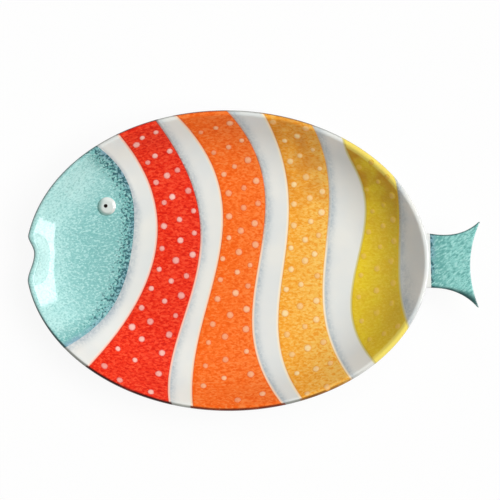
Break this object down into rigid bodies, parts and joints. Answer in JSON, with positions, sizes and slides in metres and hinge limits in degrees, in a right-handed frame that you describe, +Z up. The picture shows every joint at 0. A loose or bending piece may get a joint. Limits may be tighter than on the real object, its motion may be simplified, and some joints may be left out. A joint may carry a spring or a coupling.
{
  "type": "fish-shaped serving dish",
  "caption": "Oval glazed earthenware serving dish in the form of a fish, with a pinched mouth, a raised eye, coloured stripes over white, a forked tail and an oval foot ring.",
  "frame": {"origin": "on the table, under the middle of the overall length and width", "axes": "+X from the nose to the tail, +Y towards the side with the eye, +Z up out of the dish"},
  "size_m": [0.3982, 0.2648, 0.0408],
  "materials": {
    "white_glaze": "gloss white glaze",
    "bare_clay": "unglazed buff earthenware",
    "turquoise_glaze": "gloss turquoise glaze with pale grains",
    "red_glaze": "gloss red glaze with pale dots",
    "orange_glaze": "gloss orange glaze with pale dots",
    "amber_glaze": "gloss amber glaze with pale dots",
    "yellow_glaze": "gloss yellow glaze with pale dots",
    "black_glaze": "gloss black glaze"
  },
  "bodies": {
    "root": {"dish_body": "white_glaze", "foot_ring": "bare_clay", "tail_fin": "white_glaze", "tail_glaze": "turquoise_glaze", "eye_boss": "white_glaze", "eye_pupil": "black_glaze", "head_glaze": "turquoise_glaze", "red_stripe": "red_glaze", "orange_stripe": "orange_glaze", "amber_stripe": "amber_glaze", "yellow_stripe": "yellow_glaze"}
  },
  "joints": []
}
